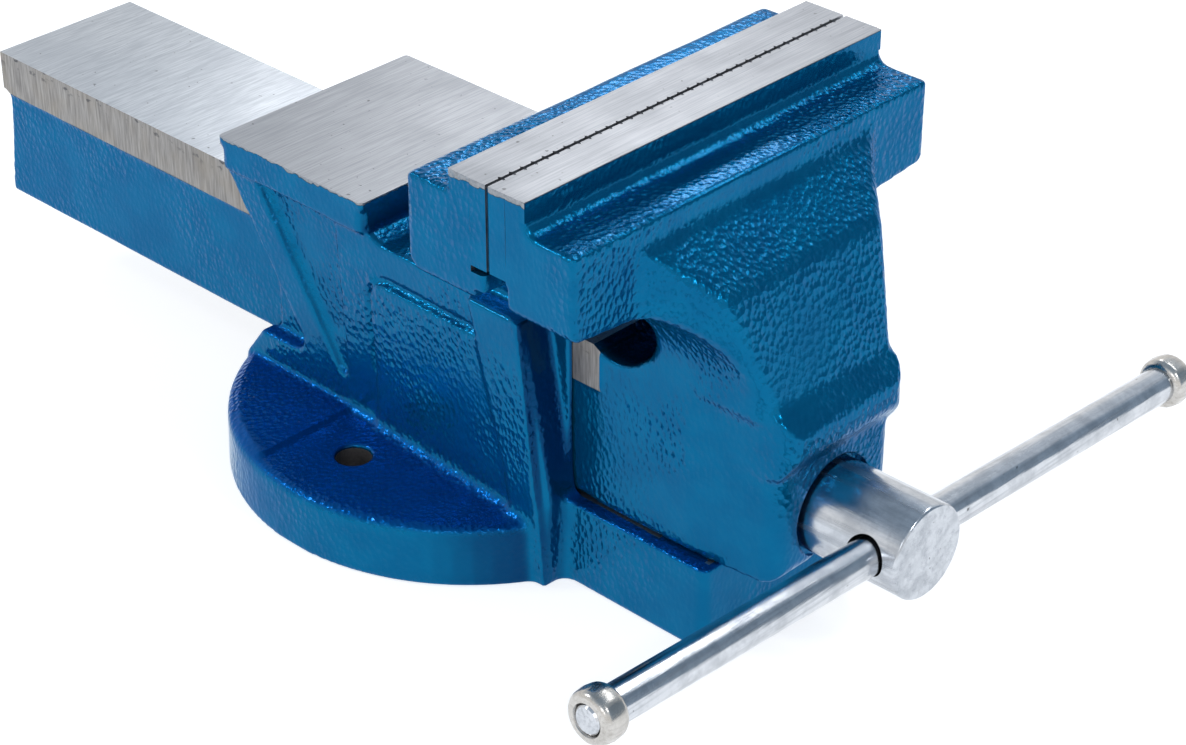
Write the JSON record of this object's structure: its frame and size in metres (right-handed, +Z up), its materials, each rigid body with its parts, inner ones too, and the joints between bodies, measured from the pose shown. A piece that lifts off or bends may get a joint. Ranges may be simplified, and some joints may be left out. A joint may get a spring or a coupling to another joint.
{
  "type": "bench vise",
  "caption": "Cast iron bench vise on a fixed round base, with an anvil, serrated jaw plates, a boxed slide and a screw with a sliding handle",
  "frame": {"origin": "centre of the two mounting holes, on the underside of the round base", "axes": "+X is the way the moving jaw opens, +Y runs along the jaws, +Z is up"},
  "size_m": [0.3907, 0.2678, 0.155],
  "materials": {
    "blue_paint": "hammer-tone enamel on cast iron",
    "jaw_steel": "ground",
    "plated_steel": "turned and plated",
    "knob_steel": "turned, lightly tarnished",
    "dark_fastener": "black oxide",
    "nut_iron": "bare, oiled",
    "spring_steel": "oiled wire"
  },
  "bodies": {
    "fixed_vise": {"fixed_body": "blue_paint", "fixed_jaw_plate": "jaw_steel", "fixed_jaw_screw_near": "dark_fastener", "fixed_jaw_screw_far": "dark_fastener", "spindle_nut": "nut_iron", "nut_dowel": "dark_fastener", "nut_washer": "plated_steel", "nut_lock_washer": "dark_fastener", "nut_bolt": "dark_fastener"},
    "sliding_jaw": {"moving_jaw": "blue_paint", "moving_jaw_plate": "jaw_steel", "moving_jaw_screw_near": "dark_fastener", "moving_jaw_screw_far": "dark_fastener"},
    "spindle_screw": {"spindle": "plated_steel", "thrust_spring": "spring_steel", "retaining_washer": "plated_steel", "split_pin": "plated_steel"},
    "handle": {"handle_bar": "plated_steel", "handle_knob_near": "knob_steel", "handle_knob_far": "knob_steel"}
  },
  "joints": [
    {"name": "jaw_slide", "type": "slide", "parent": "fixed_vise", "child": "sliding_jaw", "axis": [1, 0, 0], "range_m": [0, 0.15]},
    {"name": "spindle_spin", "type": "hinge", "parent": "sliding_jaw", "child": "spindle_screw", "pos_m": [0.1495, 0, 0.0452], "axis": [1, 0, 0], "range_deg": [0, 10800]},
    {"name": "handle_slide", "type": "slide", "parent": "spindle_screw", "child": "handle", "axis": [0, 0.9986, -0.0537], "range_m": [-0.115, 0.1038]}
  ],
  "couplings": [
    {"joint": "jaw_slide", "follows": "spindle_spin", "m_per_rad": 0.00079577}
  ]
}
